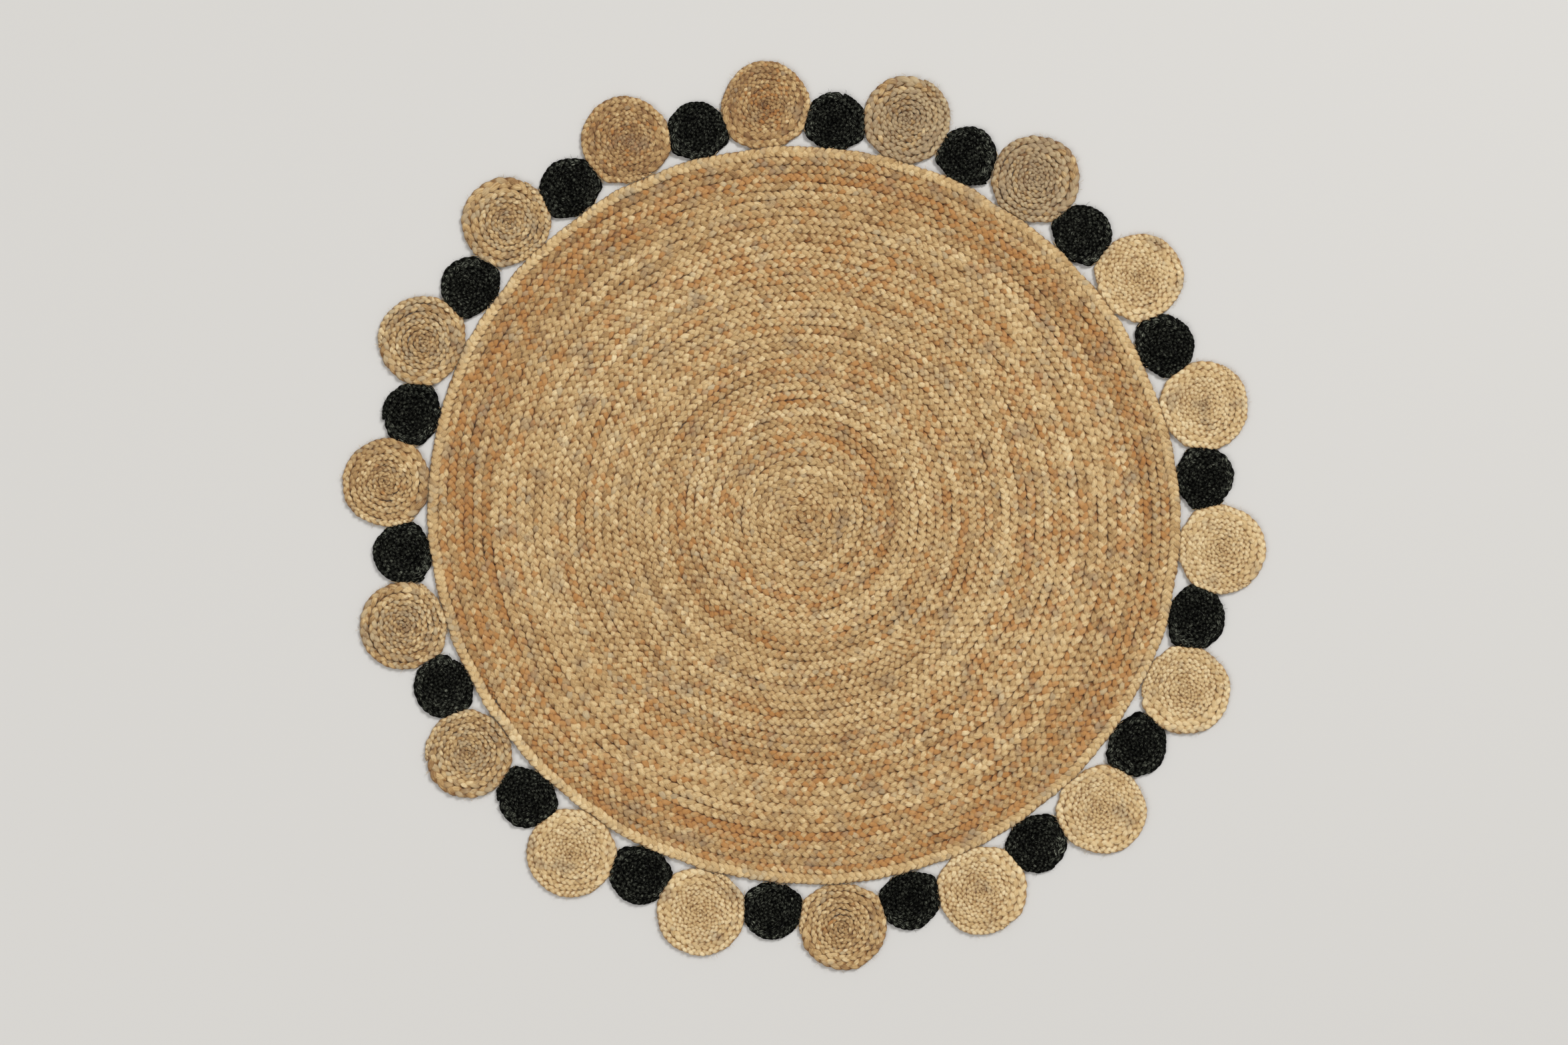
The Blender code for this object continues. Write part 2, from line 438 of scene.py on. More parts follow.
def reach_of(corners, middle, softness):
    """How far an outline lies from its middle, for every direction, with softened corners."""
    arms = corners - middle
    order = np.argsort(np.arctan2(arms[:, 1], arms[:, 0]))
    arms = np.vstack([arms[order], arms[order[:1]]])
    shares = np.linspace(0, 1, 12, endpoint=False)[:, None]
    filled = np.vstack([a + (b - a) * shares for a, b in zip(arms, arms[1:])])
    angles = np.arctan2(filled[:, 1], filled[:, 0])
    reach = np.interp(DIRECTIONS, *sorted_pair(angles % FULL_TURN, np.hypot(*filled.T)), period=FULL_TURN)
    spread = np.minimum(DIRECTIONS, FULL_TURN - DIRECTIONS)
    kernel = np.exp(-0.5 * (spread / softness) ** 2)
    return np.real(np.fft.ifft(np.fft.fft(reach) * np.fft.fft(kernel / kernel.sum())))


def towards(angle):
    """Arrows one metre long, in the directions of some angles."""
    return np.stack([np.cos(angle), np.sin(angle)], 1)


class Outline:
    """A closed outline seen from above, as its reach in every direction from its middle."""

    def __init__(self, corners, softness):
        self.middle = (corners.min(0) + corners.max(0)) / 2
        self.reach = reach_of(corners, self.middle, softness) - PLUMPNESS
        self.round = float(np.mean(self.reach))

    def edge(self):
        """Points all round the edge, anticlockwise."""
        return self.middle + towards(DIRECTIONS) * self.reach[:, None]

    def at(self, angle):
        return np.interp(angle, DIRECTIONS, self.reach, period=FULL_TURN)


print("an outline is kept as its reach in", len(DIRECTIONS), "directions")

# %% [markdown]
# ## The line of a coiled plait
#
# A coil is a spiral, but not a perfect one, because a spiral's last row would leave a step. A maker hides
# it: the outer rows run round at one distance, step out together over a short stretch, and there the
# plait's tail gets thinner and ends. The same is done here. The first rows are round, and the outer ones
# take the outline's shape little by little.
#
# Points are spaced by swings, not by metres, so every leaf gets the same few faces wherever it lies.

# %% Spirals that end like a sewn coil
STEPS_PER_SWING = 11
SLOWEST = 0.65  # where a plait tapers, its leaves never get shorter than this share of the usual ones
TIP = 0.6  # turns of plait that lie inside the first row, where the coil is started
SETTLES_FROM = 0.7  # the share of the way out from which the rows begin to run at one distance
SETTLES_OVER = 0.2


def row_edge(turns, rows, growth, step_out):
    """How far out a row's inner edge lies, as a share of the way, after so many turns."""
    whole = np.floor(turns)
    part = turns - whole
    settled = smooth((turns / rows - SETTLES_FROM) / SETTLES_OVER)
    stepped = part * (1 - settled) + smooth(part / step_out) * settled
    return np.clip((whole + stepped) / rows, 0, 1) ** growth


def paced(middle, width, pace, start_phase=0.0):
    """The same line with a point at every step of a strand's swing."""
    steps = np.hypot(*np.diff(middle, axis=0).T)
    travel = np.concatenate([[0], np.cumsum(steps)])
    slowest = SLOWEST * np.median(width)
    swings = steps * FULL_TURN / (pace * np.maximum(width[1:], slowest))
    phase = np.concatenate([[0], np.cumsum(swings)])
    count = round(phase[-1] / FULL_TURN * STEPS_PER_SWING)
    even = np.linspace(0, phase[-1], count + 1)
    columns = [np.interp(even, phase, column) for column in (*middle.T, width, travel)]
    return np.stack([*columns, even + start_phase], 1)


def coil_line(outline, rows, pace, turned=0.0, growth=1.0, step_out=0.12, eye=0.0, start_phase=0.0):
    """The middle line of a coiled plait, and the seam between its rows.

    pace is how many row widths long one full swing of a strand is. growth above 1 makes outer rows wider.
    step_out is the share of a turn over which the outer rows step out. eye makes the first turns oval.
    """
    turns = np.linspace(-TIP, rows - 1 + step_out * 0.6, 400 * rows)
    angle = turned + turns * FULL_TURN

    def place(share):
        pressed = smooth((share - 0.4) / 0.6)
        reach = outline.round * (1 - pressed) + outline.at(angle % FULL_TURN) * pressed
        reach = reach * (1 + eye * (1 - smooth(share / 0.2)) * np.cos(2 * angle))
        return outline.middle + towards(angle) * (share * reach)[:, None]

    inner = place(row_edge(turns, rows, growth, step_out))
    outer = place(row_edge(turns + 1, rows, growth, step_out))
    width = np.hypot(*(outer - inner).T)
    sewn = turns > 1
    seam = paced(inner[sewn], width[sewn], pace)
    return paced((inner + outer) / 2, width, pace, start_phase), seam


def chain(points):
    """The edges that join points one after another."""
    return [(n, n + 1) for n in range(len(points) - 1)]


def line_mesh(line, height):
    """A chain of edges along a line, which carries the line's numbers as attributes."""
    mesh = bpy.data.meshes.new("line")
    points = [(x, y, height) for x, y in line[:, :2]]
    mesh.from_pydata(points, chain(points), [])
    for label, column in (("row_width", 2), ("travel", 3), ("phase", 4)):
        attribute = mesh.attributes.new(label, "FLOAT", "POINT")
        attribute.data.foreach_set("value", line[:, column].astype(np.float32))
    return mesh


print("a coil's line has", STEPS_PER_SWING, "points for each swing of a strand")

# %% [markdown]
# ## Writing a finish
#
# A finish is one node tree that ends in one Principled shader. These helpers add what every finish here is
# mixed from: numbers that the plait carries, noise, two colours mixed by a share, and shade in the creases.

# %% Helpers for finishes
mat_low, mat_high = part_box("mat_coil")
MAT_THICKNESS = mat_high.z - mat_low.z
PLAIT_MIDDLE = MAT_THICKNESS / 2 + FLOOR_CLEARANCE  # the height of every plait's middle line


def new_finish(name):
    material = bpy.data.materials.new(name)
    material.use_nodes = True
    material.node_tree.nodes.clear()
    return material, Bench(material.node_tree)


def close_finish(bench, sockets, **same_all_over):
    """Ends a finish with its shader. What is the same all over is set on the shader's own sockets."""
    shader = bench.add("ShaderNodeBsdfPrincipled", sockets)
    for label, value in same_all_over.items():
        shader.socket.node.inputs[label.replace("_", " ")].default_value = value
    outlet = bench.tree.nodes.new("ShaderNodeOutputMaterial")
    bench.plug(outlet.inputs["Surface"], shader)


def carried(bench, label):
    return bench.add("ShaderNodeAttribute", out="Fac", attribute_name=label)


def noise(bench, x, y, z=0.0, detail=2.0, roughness=0.5):
    """Noise from three numbers, spread to fill 0 to 1."""
    sockets = {"Vector": bench.vector(x, y, z), "Scale": 1.0, "Detail": detail, "Roughness": roughness}
    raw = bench.add("ShaderNodeTexNoise", sockets, out="Fac")
    return bench.add("ShaderNodeMapRange", {"Value": raw, "From Min": 0.28, "From Max": 0.72})


def colour_of(value):
    return value if isinstance(value, Wire) else (*value, 1)


def mixed(bench, share, under, over, how="MIX"):
    sockets = {"Factor": share, "A": colour_of(under), "B": colour_of(over)}
    return bench.add("ShaderNodeMix", sockets, data_type="RGBA", blend_type=how)


def shaded(bench, colour, open_to_light, crease_shade):
    """Painted shade: the colour as it is where light reaches it, multiplied by the crease shade's colour
    deep down.
    """
    light = mixed(bench, open_to_light, crease_shade, (1.0, 1.0, 1.0))
    return mixed(bench, 1.0, colour, light, how="MULTIPLY")


def height_above_middle(bench, height):
    """0 at the height of the plait's middle line, and 1 at its top and its underside."""
    return abs(height / PLAIT_MIDDLE - 1)


print("the mat is", round(MAT_THICKNESS * 1000, 1), "millimetres thick")

# %% [markdown]
# ## The finish of jute
#
# Jute is a bundle of dry, glossy plant fibres. A plait of it is never one colour: each strand turns paler,
# browner, greyer or more orange as the maker feeds new fibre in, fine streaks run along the strand, and dust
# gathers in the creases. Here the creases are darkened by painted shade, with that dust, in one warm brown.
# A single noise would look like paint, so the finish is built from what the plait carries: noise along the
# strand for its tone, stretched noise for the streaks, and height for the painted shade in the creases.
# Stains and flecks of bark don't follow the strands, so they are noise over the whole rug.

# %% Jute, and the tones it comes in
DARK_JUTE = (0.230, 0.115, 0.042)
TAN_JUTE = (0.450, 0.278, 0.112)
STRAW_JUTE = (0.660, 0.468, 0.228)
PALE_JUTE = (0.880, 0.720, 0.440)
TONES = [(0.0, DARK_JUTE), (0.34, TAN_JUTE), (0.62, STRAW_JUTE), (1.0, PALE_JUTE)]
ORANGE_JUTE = (0.460, 0.195, 0.045)
GREY_JUTE = (0.420, 0.340, 0.220)
SOILED_JUTE = (0.290, 0.210, 0.135)
BARK = (0.200, 0.085, 0.028)
# Painted shade, with a little dust, that the creases of natural jute are multiplied by
PAINTED_CREASE_SHADE = (0.56, 0.42, 0.29)


def jute(name, paler=0.0, orange=0.25, grey=0.2, contrast=1.0, last_bundle=None):
    """A natural jute finish.

    paler moves every tone, contrast spreads the tones, and orange and grey are how common those strands are.
    last_bundle is the travelled length from which a browner, more orange bundle was used.
    """
    material, bench = new_finish(name)
    strand = carried(bench, "strand")
    phase = carried(bench, "phase")
    travel = carried(bench, "travel")
    across = carried(bench, "across")
    # The tone changes from leaf to leaf, in long bands along the plait, and in streaks across a strand.
    leaf = noise(bench, phase * 0.31, strand * 31.7, detail=1.0)
    band = noise(bench, travel * 2.2, 4.2, detail=3.0)
    bundle = noise(bench, travel * 1.6, 9.7, detail=2.0)
    streak = noise(bench, across * 4.2, travel * 95, strand * 9.1, detail=3.0, roughness=0.7)
    spell = noise(bench, phase * 0.22, strand * 17.3, travel * 2.1, detail=1.0) * 0.72 + bundle * 0.4
    spread = leaf * 0.40 + band * 0.32 + streak * 0.38 - 0.55
    tone = spread * contrast + (0.49 + paler)
    if last_bundle is not None:
        last = travel.between(last_bundle - 1.5, last_bundle + 1.5)
        first = 1 - travel.between(1.2, 2.6)
        tone = tone - last * 0.09 - first * 0.06
        spell = spell + last * 0.15 - first * 0.10
    colour = bench.add("ShaderNodeValToRGB", [tone], out="Color", stops=TONES)
    # Orange strands come in spells of a few leaves, and dull grey ones in spells of their own.
    warm = spell.between(0.97 - orange, 1.16 - orange) * (streak * 0.55 + 0.45)
    colour = mixed(bench, warm, colour, ORANGE_JUTE)
    dull = noise(bench, phase * 0.13, strand * 23.9 + 50, travel * 1.3, detail=1.0)
    dull = dull.between(0.95 - grey, 1.25 - grey) * (streak * 0.5 + 0.3)
    colour = mixed(bench, dull, colour, GREY_JUTE)
    # Soil lies in patches a few rows wide, and flecks of bark are smaller than a leaf.
    place = bench.add("ShaderNodeTexCoord", out="Object")
    x, y, height = (bench.part(place, axis) for axis in "XYZ")
    soil = noise(bench, x * 24, y * 24, detail=2.0)
    colour = mixed(bench, soil.between(0.62, 1.0) * 0.45, colour, SOILED_JUTE)
    fleck = noise(bench, x * 70, y * 70, strand, detail=3.0).between(0.74, 0.94)
    colour = mixed(bench, fleck * (streak * 0.3 + 0.4), colour, BARK)
    # Painted shade, with a little dust, darkens the creases. Slow noise along the plait makes it reach
    # higher in some rows.
    shade_reach = noise(bench, travel * 1.3, 21.0)
    open_to_light = height_above_middle(bench, height).between(0.1, 0.45 + shade_reach * 0.35)
    colour = shaded(bench, colour, open_to_light, PAINTED_CREASE_SHADE)
    bump = {"Height": streak, "Strength": 0.8, "Distance": 0.0008}
    sockets = {"Base Color": colour, "Roughness": 0.88 - streak * 0.22}
    sockets["Normal"] = bench.add("ShaderNodeBump", bump)
    close_finish(bench, sockets, Sheen_Weight=0.1, Sheen_Roughness=0.5, Specular_IOR_Level=0.35)
    return material


EDGE_PLAIT = jute("pale jute plait", paler=0.06, orange=0.10, grey=0.26, contrast=0.9)
print("natural jute runs through", len(TONES), "tones, with orange, grey, soil and bark laid over them")

# %% [markdown]
# ## Jute dyed black
#
# Dye hides the tones, so the black finish is simpler. It is nearly black everywhere, but the tops of the
# leaves carry painted highlights: fine greenish grey glints in streaks, which stand in for the fibres'
# shine.

# %% Dye the black jute
DYE = (0.0014, 0.0014, 0.0011)
# Painted highlight: the colour of the glints on the leaf tops
PAINTED_GLINT = (0.340, 0.360, 0.280)


def black_jute(name):
    material, bench = new_finish(name)
    strand = carried(bench, "strand")
    travel = carried(bench, "travel")
    across = carried(bench, "across")
    leaf = noise(bench, carried(bench, "phase") * 0.4, strand * 31.7, detail=1.0)
    streak = noise(bench, across * 4.5, travel * 210, strand * 9.1, detail=3.0, roughness=0.65)
    height = bench.part(bench.add("ShaderNodeTexCoord", out="Object"), "Z")
    # Painted highlight: glints in streaks on the raised leaf tops, while the shader's own specular stays
    # low.
    raised = height_above_middle(bench, height).between(0.3, 0.95)
    painted_glint = streak.between(0.42, 0.95) * (leaf * 0.8 + 0.2) * raised
    bump = {"Height": streak, "Strength": 0.7, "Distance": 0.0006}
    sockets = {"Base Color": mixed(bench, painted_glint, DYE, PAINTED_GLINT), "Roughness": 0.66 - streak * 0.2}
    sockets["Normal"] = bench.add("ShaderNodeBump", bump)
    close_finish(bench, sockets, Specular_IOR_Level=0.03)
    return material


BLACK_PLAIT = black_jute("black jute plait")
print("black jute has", len(BLACK_PLAIT.node_tree.nodes), "nodes")

# %% [markdown]
# ## The mat
#
# The mat is one plait in about 44 rows. It is far too long for one light mesh, so it is made in stretches
# that continue each other, just as a maker works new fibre in. The coil's first turns are a little oval.
# Each finished piece is parented to the rug's root body, and the imported slab below it is hidden.


# %% Coil the mat
def put_in_place(piece, slot, *nodes):
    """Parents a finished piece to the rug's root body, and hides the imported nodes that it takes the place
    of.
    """
    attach(piece, "root")
    if nodes:
        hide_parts(*nodes)
    print(piece.name, "has", len(piece.data.polygons), "faces")


def plait_piece(name, line, finish, height, **sizes):
    return run_tree(PLAIT, line_mesh(line, height), name, Finish=finish, **map_room(line), **sizes)


MAT_ROWS = 44
MAT_PACE = 2.65
MAT_TURNED = math.radians(200)
MAT_STRETCHES = 6
LAST_BUNDLE = 0.76  # the share of the mat's plait after which its jute is browner
CORNER_SOFTNESS = math.radians(3)

mat_outline = Outline(corners_of("mat_coil"), CORNER_SOFTNESS)
mat_shape = {"growth": 1.03, "step_out": 0.05, "eye": 0.13}
mat_line, mat_seam = coil_line(mat_outline, MAT_ROWS, MAT_PACE, MAT_TURNED, **mat_shape)
plait_length = mat_line[-1, 3]
golden = {"orange": 0.3, "grey": 0.24, "paler": 0.02, "contrast": 1.15}
GOLDEN_PLAIT = jute("golden jute plait", last_bundle=LAST_BUNDLE * plait_length, **golden)
cuts = np.linspace(0, len(mat_line) - 1, MAT_STRETCHES + 1).astype(int)
for number, (first, last) in enumerate(zip(cuts, cuts[1:]), 1):
    stretch = mat_line[first:last + 1]
    piece = plait_piece(f"mat_plait_{number}", stretch, GOLDEN_PLAIT, PLAIT_MIDDLE, Seed=1)
    put_in_place(piece, "golden_jute_plait", "mat_coil")
print("the mat holds", round(plait_length, 1), "metres of plait")

# %% [markdown]
# ## The edge braid
#
# A separate, paler plait runs once round the mat. It was laid the other way round, so its leaves point
# against the mat's. It is drawn halfway between the mat's outline and its own outer edge.

# %% Lay the edge braid
EDGE_SWINGS = 120
EDGE_START = math.radians(75)
EDGE_PHASE = 40.0  # keeps the edge braid's noise apart from the mat's
EDGE_RISE = 0.0003  # metres that the edge braid's middle line lies higher than the mat's

rim_corners = corners_of("edge_braid")
arms = rim_corners - mat_outline.middle
past_the_mat = np.hypot(*arms.T) - mat_outline.at(np.arctan2(arms[:, 1], arms[:, 0]) % FULL_TURN)
outside = past_the_mat > past_the_mat.max() / 2
rim_outline = Outline(rim_corners[outside], CORNER_SOFTNESS)


def edge_line():
    angle = np.linspace(0, FULL_TURN, 4000) + EDGE_START
    inner, outer = (
        outline.middle + towards(angle) * outline.at(angle % FULL_TURN)[:, None]
        for outline in (mat_outline, rim_outline)
    )
    width = np.hypot(*(outer - inner).T)
    length = np.hypot(*np.diff((inner + outer) / 2, axis=0).T).sum()
    return paced((inner + outer) / 2, width, length / EDGE_SWINGS / np.mean(width), EDGE_PHASE)


edge = plait_piece("edge_plait", edge_line(), EDGE_PLAIT, PLAIT_MIDDLE + EDGE_RISE, Lay=-1.0, Seed=2)
put_in_place(edge, "pale_jute_plait", "edge_braid")

# %% [markdown]
# ## The discs of the border
#
# Each disc is the same idea, smaller: a plait that starts thin, gets wider turn by turn and ends in a tail.
# The natural discs aren't all alike, because each was coiled from another bundle. Most are pale straw, and
# the others are honey, tan, greyish or weathered. The rougher bundles were coiled more loosely, in one row
# fewer, so their leaves are narrower and less even.

# %% Bundles for the natural discs
STRAW = jute("straw jute plait", paler=0.18, orange=0.08, grey=0.14)
HONEY = jute("honey jute plait", paler=-0.05, orange=0.18, grey=0.24, contrast=1.5)
GREYISH = jute("greyish jute plait", paler=-0.13, orange=0.04, grey=0.85, contrast=1.7)
WEATHERED = jute("weathered jute plait", paler=-0.03, orange=0.08, grey=0.5, contrast=1.5)
TAN = jute("tan jute plait", paler=-0.21, orange=0.30, grey=0.16, contrast=1.5)
NATURAL_FINISHES = [STRAW] * 2 + [GREYISH] * 2 + [TAN] * 2 + [WEATHERED] * 2 + [HONEY] + [WEATHERED] * 2
NATURAL_FINISHES += [STRAW] * 2 + [HONEY] + [STRAW] * 4
LOOSELY_COILED = (GREYISH, HONEY, WEATHERED)
print(len(NATURAL_FINISHES), "natural discs are coiled from 5 kinds of bundle")

# %% [markdown]
# ## Coil the discs
#
# One short function makes a disc, natural or black, from its packed slab's outline. It keeps the outline
# and the seam between the rows, because the sewing needs both. Each disc starts its coil in another
# direction and far along another stretch of noise, so no two are alike.

# %% One function for every disc
PAIRS = sum(name.startswith("natural_disc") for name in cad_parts)
PRESSED = {"Swing": 0.28, "StrandWidth": 0.355, "Lift": 0.0017, "Unevenness": 0.0008}
LOOSE = {"Swing": 0.27, "StrandWidth": 0.31, "Unevenness": 0.0010}
DISC_SOFTNESS = math.radians(5)
DISC_SHAPES = {"natural": {"pace": 3.1, "growth": 1.15}, "black": {"pace": 2.6, "growth": 1.1}}
DISC_SLOTS = {"natural": "straw_jute_plait", "black": "black_jute_plait"}
outlines = {"natural": [], "black": []}
seams = {"natural": [], "black": []}


def coil_disc(kind, number, rows, finish, hand):
    """Coils one disc. hand says how tightly its plait was made."""
    node = f"{kind}_disc_{number + 1:02d}"
    outline = Outline(corners_of(node), DISC_SOFTNESS)
    own_start = {"turned": number * 2.1 + 0.7, "start_phase": 500.0 * (number + 1)}
    line, seam = coil_line(outline, rows, **DISC_SHAPES[kind], **own_start)
    name = f"{kind}_coil_{number + 1:02d}"
    coil = plait_piece(name, line, finish, PLAIT_MIDDLE, Seed=10 + number, **hand)
    put_in_place(coil, DISC_SLOTS[kind], node)
    outlines[kind].append(outline)
    seams[kind].append(seam)


for number, finish in zip(range(PAIRS), NATURAL_FINISHES):
    if finish in LOOSELY_COILED:
        coil_disc("natural", number, 8, finish, LOOSE)
    else:
        coil_disc("natural", number, 9, finish, PRESSED)
    coil_disc("black", number, 6, BLACK_PLAIT, PRESSED)

# %% [markdown]
# ## Sewing thread
#
# A rug like this is held together by thread alone. Inside a coil, the thread runs from row to row and shows
# as short slanting stitches in the groove between them. Where two pieces meet, whip stitches go over both
# edges. Each stitch is one small bent tube, placed along the seam's line by Geometry Nodes.


# %% The stitch tree
def stitch_tree():
    bench, given = geometry_bench(
        "Stitches",
        Spacing=0.008,
        HalfReach=0.004,
        Slant=0.5,
        Thread=0.00045,
        Rise=0.001,
        Dip=0.002,
        Seed=0,
    )
    line = bench.add("GeometryNodeMeshToCurve", [given["Geometry"]])
    spaced = {"Curve": line, "Length": given["Spacing"]}
    places = bench.add("GeometryNodeCurveToPoints", spaced, mode="LENGTH")
    tangent = Wire(bench, places.socket.node.outputs["Tangent"])

    slope = given["HalfReach"] * given["Slant"]
    start = bench.vector(slope * -1, given["HalfReach"] * -1, given["Dip"] * -1)
    top = bench.vector(0, 0, given["Rise"])
    end = bench.vector(slope, given["HalfReach"], given["Dip"] * -1)
    bend = {"Resolution": 4, "Start": start, "Middle": top, "End": end}
    arc = bench.add("GeometryNodeCurveQuadraticBezier", bend)
    ring = bench.add("GeometryNodeCurvePrimitiveCircle", {"Resolution": 4, "Radius": 1.0})
    sweep = {"Curve": arc, "Profile Curve": ring, "Scale": given["Thread"]}
    stitch = bench.add("GeometryNodeCurveToMesh", sweep)

    turn = {"Primary Axis": (0, 0, 1), "Secondary Axis": tangent}
    turn = bench.add("FunctionNodeAxesToRotation", turn, primary_axis="Z", secondary_axis="X")
    uneven = {"Min": (0.5, 0.6, 0.6), "Max": (1.5, 1.25, 1.1), "Seed": given["Seed"]}
    uneven = bench.add("FunctionNodeRandomValue", uneven, data_type="FLOAT_VECTOR")
    copies = {"Points": places, "Instance": stitch, "Rotation": turn, "Scale": uneven}
    stitches = bench.add("GeometryNodeInstanceOnPoints", copies)
    return close_tree(bench, stitches, given)


STITCHES = stitch_tree()
print("the stitch tree has", len(STITCHES.nodes), "nodes")

# %% [markdown]
# ## The finish of thread
#
# Thread is twisted from finer plies, so close up it shows fine slanting lines. Its tone changes from stitch
# to stitch, because some lie deeper and gather dust. The discs dyed black are sewn with black thread.


# %% Natural and black thread
def thread_finish(name, dark, pale):
    material, bench = new_finish(name)
    place = bench.add("ShaderNodeTexCoord", out="Object")
    x, y, z = (bench.part(place, axis) for axis in "XYZ")
    patch = noise(bench, x * 90, y * 90, detail=1.0)
    ply = noise(bench, (x + y) * 900, (x - y) * 260, z * 900, detail=2.0)
    colour = mixed(bench, patch * 0.6 + ply * 0.4, dark, pale)
    bump = {"Height": ply, "Strength": 0.5, "Distance": 0.0003}
    sockets = {"Base Color": colour, "Roughness": 0.9 - ply * 0.15}
    sockets["Normal"] = bench.add("ShaderNodeBump", bump)
    close_finish(bench, sockets, Sheen_Weight=0.1)
    return material


JUTE_THREAD = thread_finish("jute sewing thread", (0.34, 0.23, 0.11), (0.66, 0.49, 0.27))
BLACK_THREAD = thread_finish("black sewing thread", (0.004, 0.004, 0.004), (0.035, 0.036, 0.031))
print("thread has", len(JUTE_THREAD.node_tree.nodes), "nodes")

# %% [markdown]
# ## Sew the rows of every coil
#
# The seam between two rows was kept when each coil was laid. Several seams go into one mesh as separate
# chains, so all the discs of one colour are laced at once.

# %% Lacing inside the coils
ROW_GROOVE = PLAIT_MIDDLE + 0.0014  # the height of the groove between two rows
LACING = {"HalfReach": 0.0013, "Slant": 2.2, "Thread": 0.0004, "Rise": 0.0012, "Dip": 0.0010}
MAT_STITCH = 0.036
DISC_STITCH = 0.017


def joined_mesh(lines, height):
    """Several seams as separate chains in one mesh."""
    mesh = bpy.data.meshes.new("seams")
    points = []
    edges = []
    for line in lines:
        edges += [(a + len(points), b + len(points)) for a, b in chain(line)]
        points += [(x, y, height) for x, y in line[:, :2]]
    mesh.from_pydata(points, edges, [])
    return mesh


def stitched(name, lines, height, finish, **sizes):
    room = map_room(np.vstack([line[:, :2] for line in lines]))
    return run_tree(STITCHES, joined_mesh(lines, height), name, Finish=finish, **room, **sizes)


lacing = stitched("mat_lacing", [mat_seam], ROW_GROOVE, JUTE_THREAD, Spacing=MAT_STITCH, **LACING)
put_in_place(lacing, "sewing_thread")
for kind, finish in (("natural", JUTE_THREAD), ("black", BLACK_THREAD)):
    name = f"{kind}_coil_lacing"
    lacing = stitched(name, seams[kind], ROW_GROOVE, finish, Spacing=DISC_STITCH, **LACING)
    put_in_place(lacing, "sewing_thread")

# %% [markdown]
# ## Sew the pieces to each other
#
# Every disc is sewn to the edge braid and to both its neighbours, only where they lie against each other.
# That stretch is found by measuring the gap between two outlines. Whip stitches are steep and close.

# %% Whip stitches between the pieces
SEAM_TOP = MAT_THICKNESS - 0.0036
WHIP = {"HalfReach": 0.0013, "Slant": 3.2, "Rise": 0.0016, "Dip": 0.0012, "Thread": 0.0004}
JOINING_STITCH = 0.0064
EDGE_STITCH = 0.0105
LOOSENESS = 0.0022  # metres that a sewn gap may be wider than the narrowest one


def seam_between(first, second):
    """The stretch of one outline that lies against another."""
    edge = first.edge()
    arms = edge - second.middle
    gap = np.abs(np.hypot(*arms.T) - second.at(np.arctan2(arms[:, 1], arms[:, 0]) % FULL_TURN))
    near = gap < gap.min() + LOOSENESS
    begins = int(np.flatnonzero(near & ~np.roll(near, 1))[0])
    return np.roll(edge, -begins, axis=0)[:int(near.sum())]


edge_seam = mat_outline.edge()
edge_seam = np.vstack([edge_seam, edge_seam[:1]])
sewing = stitched("edge_seam_stitches", [edge_seam], SEAM_TOP, JUTE_THREAD, Spacing=EDGE_STITCH, **WHIP)
put_in_place(sewing, "sewing_thread", "edge_seam_thread")
for number in range(PAIRS):
    black = outlines["black"][number]
    before = outlines["natural"][number]
    after = outlines["natural"][(number + 1) % PAIRS]
    pairs = [(black, before), (black, after), (black, rim_outline), (after, rim_outline)]
    held = [seam_between(first, second) for first, second in pairs]
    label = f"{number + 1:02d}"
    name = f"joining_stitches_{label}"
    given = {"Seed": number, "Spacing": JOINING_STITCH, **WHIP}
    sewing = stitched(name, held, SEAM_TOP, JUTE_THREAD, **given)
    put_in_place(sewing, "sewing_thread", f"joining_thread_{label}")

# %% [markdown]
# ## Loose fibres
#
# Jute is never quite tidy. Short fibres stand out all round the discs and lie across the rows. Each is a
# thin bent hair with only a few faces, turned and bent at random, with a fixed seed.


# %% The fibre tree
def fibre_tree():
    bench, given = geometry_bench(
        "Loose fibres",
        Length=0.007,
        Thickness=0.00014,
        Spread=1.1,
        Seed=0,
    )
    roots = bench.add("GeometryNodeMeshToPoints", {"Mesh": given["Geometry"]})
    middle = bench.vector(given["Length"] * 0.5, 0, given["Length"] * 0.14)
    tip = bench.vector(given["Length"], given["Length"] * 0.3, 0)
    bend = {"Resolution": 4, "Start": (0, 0, 0), "Middle": middle, "End": tip}
    hair = bench.add("GeometryNodeCurveQuadraticBezier", bend)
    ring = bench.add("GeometryNodeCurvePrimitiveCircle", {"Resolution": 3, "Radius": 1.0})
    sweep = {"Curve": hair, "Profile Curve": ring, "Scale": given["Thickness"]}
    hair = bench.add("GeometryNodeCurveToMesh", sweep)
    sway = {"Min": given["Spread"] * -1, "Max": given["Spread"], "Seed": given["Seed"]}
    sway = bench.add("FunctionNodeRandomValue", sway, data_type="FLOAT")
    turn = bench.vector(0, 0, stored(bench, "heading") + sway)
    sizes = {"Min": (0.3, -1.8, 0.5), "Max": (1.3, 1.8, 1.2), "Seed": given["Seed"] + 1}
    sizes = bench.add("FunctionNodeRandomValue", sizes, data_type="FLOAT_VECTOR")
    copies = {"Points": roots, "Instance": hair, "Rotation": turn, "Scale": sizes}
    return close_tree(bench, bench.add("GeometryNodeInstanceOnPoints", copies), given)


FIBRES = fibre_tree()
print("the fibre tree has", len(FIBRES.nodes), "nodes")

# %% [markdown]
# ## Where the fibres grow
#
# Fibres at an edge point outwards, give or take, and those on the mat lie in any direction. The roots are
# drawn from one generator with a fixed seed, always in the same order, so every run gives the same rug.

# %% Scatter the loose fibres
chance = np.random.default_rng(7)


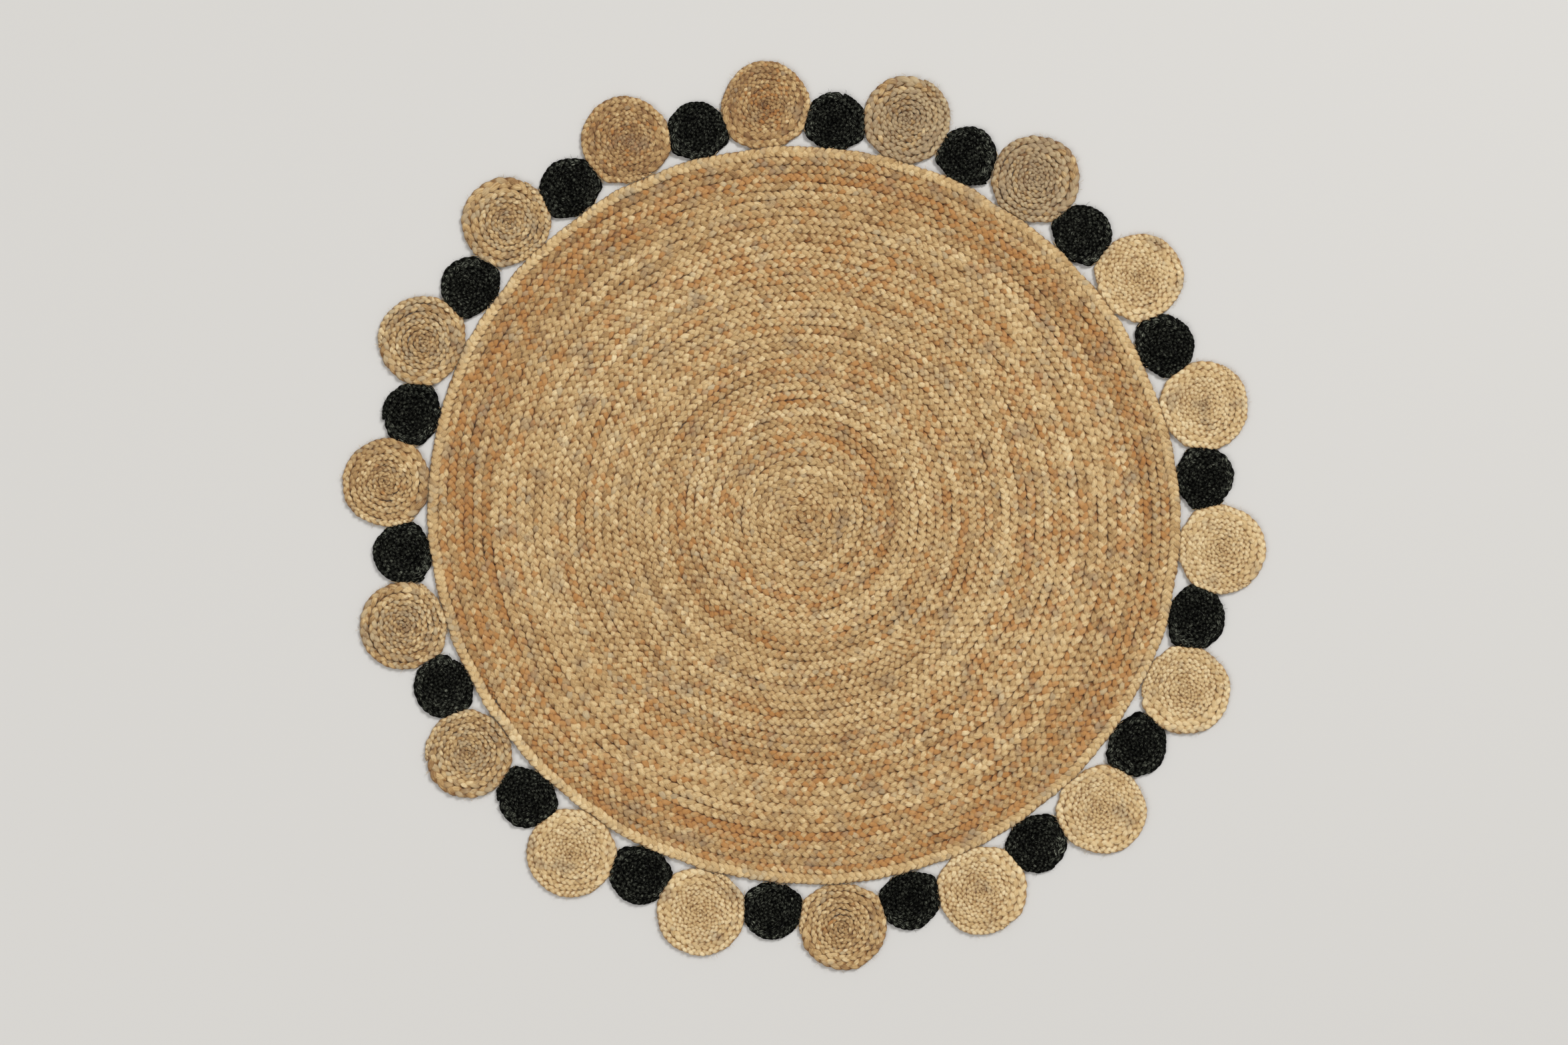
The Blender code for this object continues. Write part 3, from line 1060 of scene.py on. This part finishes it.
def fibre_piece(name, rooted, finish, seed):
    roots, headings = rooted
    mesh = bpy.data.meshes.new("roots")
    mesh.from_pydata([tuple(root) for root in roots], [], [])
    attribute = mesh.attributes.new("heading", "FLOAT", "POINT")
    attribute.data.foreach_set("value", headings.astype(np.float32))
    piece = run_tree(FIBRES, mesh, name, Finish=finish, Seed=seed, **map_room(roots))
    put_in_place(piece, "sewing_thread" if finish is JUTE_THREAD else "black_jute_plait")


def from_middle(shape, angle, reach, height):
    """Points at given angles and distances from a shape's middle."""
    x = shape.middle[0] + reach * np.cos(angle)
    y = shape.middle[1] + reach * np.sin(angle)
    return np.stack([x, y, height], 1)


def edge_roots(shapes, count):
    """Random points just inside each shape's edge, with the way that is outwards there."""
    roots = []
    headings = []
    for shape in shapes:
        angle = chance.uniform(0, FULL_TURN, count)
        reach = shape.at(angle) - chance.uniform(0.0005, 0.004, count)
        height = chance.uniform(0.35, 0.8, count) * MAT_THICKNESS
        roots.append(from_middle(shape, angle, reach, height))
        headings.append(angle)
    return np.vstack(roots), np.concatenate(headings)


def top_roots(shape, count):
    """Random points over the whole of a shape, at the height of its leaves."""
    angle = chance.uniform(0, FULL_TURN, count)
    reach = shape.at(angle) * np.sqrt(chance.uniform(0, 1, count)) * 0.98
    height = np.full(count, MAT_THICKNESS - 0.0011)
    return from_middle(shape, angle, reach, height), chance.uniform(0, FULL_TURN, count)


fibre_piece("mat_loose_fibres", top_roots(mat_outline, 1400), JUTE_THREAD, 3)
fibre_piece("natural_disc_fibres", edge_roots(outlines["natural"], 160), JUTE_THREAD, 5)
fibre_piece("black_disc_fibres", edge_roots(outlines["black"], 40), BLACK_THREAD, 7)
fibre_piece("edge_braid_fibres", edge_roots([rim_outline], 500), JUTE_THREAD, 9)

# %% [markdown]
# ## The floor
#
# The rug lies on a plain pale floor. It is marked as stage, because it isn't part of the rug.

# %% Lay the floor
FLOOR_REACH = 20.0


def floor_finish():
    material, bench = new_finish("pale floor")
    close_finish(bench, {"Base Color": (0.62, 0.61, 0.59, 1), "Roughness": 0.9})
    return material


floor_mesh = bpy.data.meshes.new("floor")
square = [(x * FLOOR_REACH, y * FLOOR_REACH, 0) for x, y in ((-1, -1), (1, -1), (1, 1), (-1, 1))]
floor_mesh.from_pydata(square, [], [(0, 1, 2, 3)])
floor_mesh.materials.append(floor_finish())
floor = bpy.data.objects.new("floor", floor_mesh)
bpy.context.scene.collection.objects.link(floor)
floor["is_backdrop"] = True
print("the floor reaches", FLOOR_REACH, "metres each way")

# %% [markdown]
# ## Light and camera
#
# A large soft light stands high to one side, so every leaf of the plait has a bright and a shaded flank,
# and a weaker one fills in from the other side. The camera looks straight down.


# %% Light the rug and look at it
def soft_light(name, place, size, power):
    lamp = bpy.data.lights.new(name, "AREA")
    lamp.shape = "DISK"
    lamp.size = size
    lamp.energy = power
    stand = bpy.data.objects.new(name, lamp)
    stand.location = place
    stand.rotation_euler = (-Vector(place)).to_track_quat("-Z", "Y").to_euler()
    bpy.context.scene.collection.objects.link(stand)


soft_light("key light", (6.5, 7.8, 10.0), size=4.8, power=1420)
soft_light("fill light", (-4.5, -3.6, 6.0), size=5.0, power=190)

world = bpy.data.worlds.new("studio")
world.use_nodes = True
sky = world.node_tree.nodes["Background"]
sky.inputs["Color"].default_value = (1.0, 0.98, 0.95, 1)
sky.inputs["Strength"].default_value = 0.45
bpy.context.scene.world = world

VIEW_WIDTH = 2.541  # metres of floor across the picture
VIEW_MIDDLE = (-0.032, -0.011)  # the camera stands a little to one side of the rug's middle
lens = bpy.data.cameras.new("camera")
lens.lens = 50
camera = bpy.data.objects.new("camera", lens)
camera_height = VIEW_WIDTH * lens.lens / lens.sensor_width
camera.location = (*VIEW_MIDDLE, camera_height)
bpy.context.scene.collection.objects.link(camera)
bpy.context.scene.camera = camera
bpy.context.scene.view_settings.view_transform = "Standard"
print("the camera looks down from", round(camera_height, 2), "metres")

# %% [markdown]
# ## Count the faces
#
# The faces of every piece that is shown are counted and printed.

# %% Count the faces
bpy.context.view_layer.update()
total = sum(len(piece.data.polygons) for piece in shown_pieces())
print("the rug's pieces have", total, "faces in all")
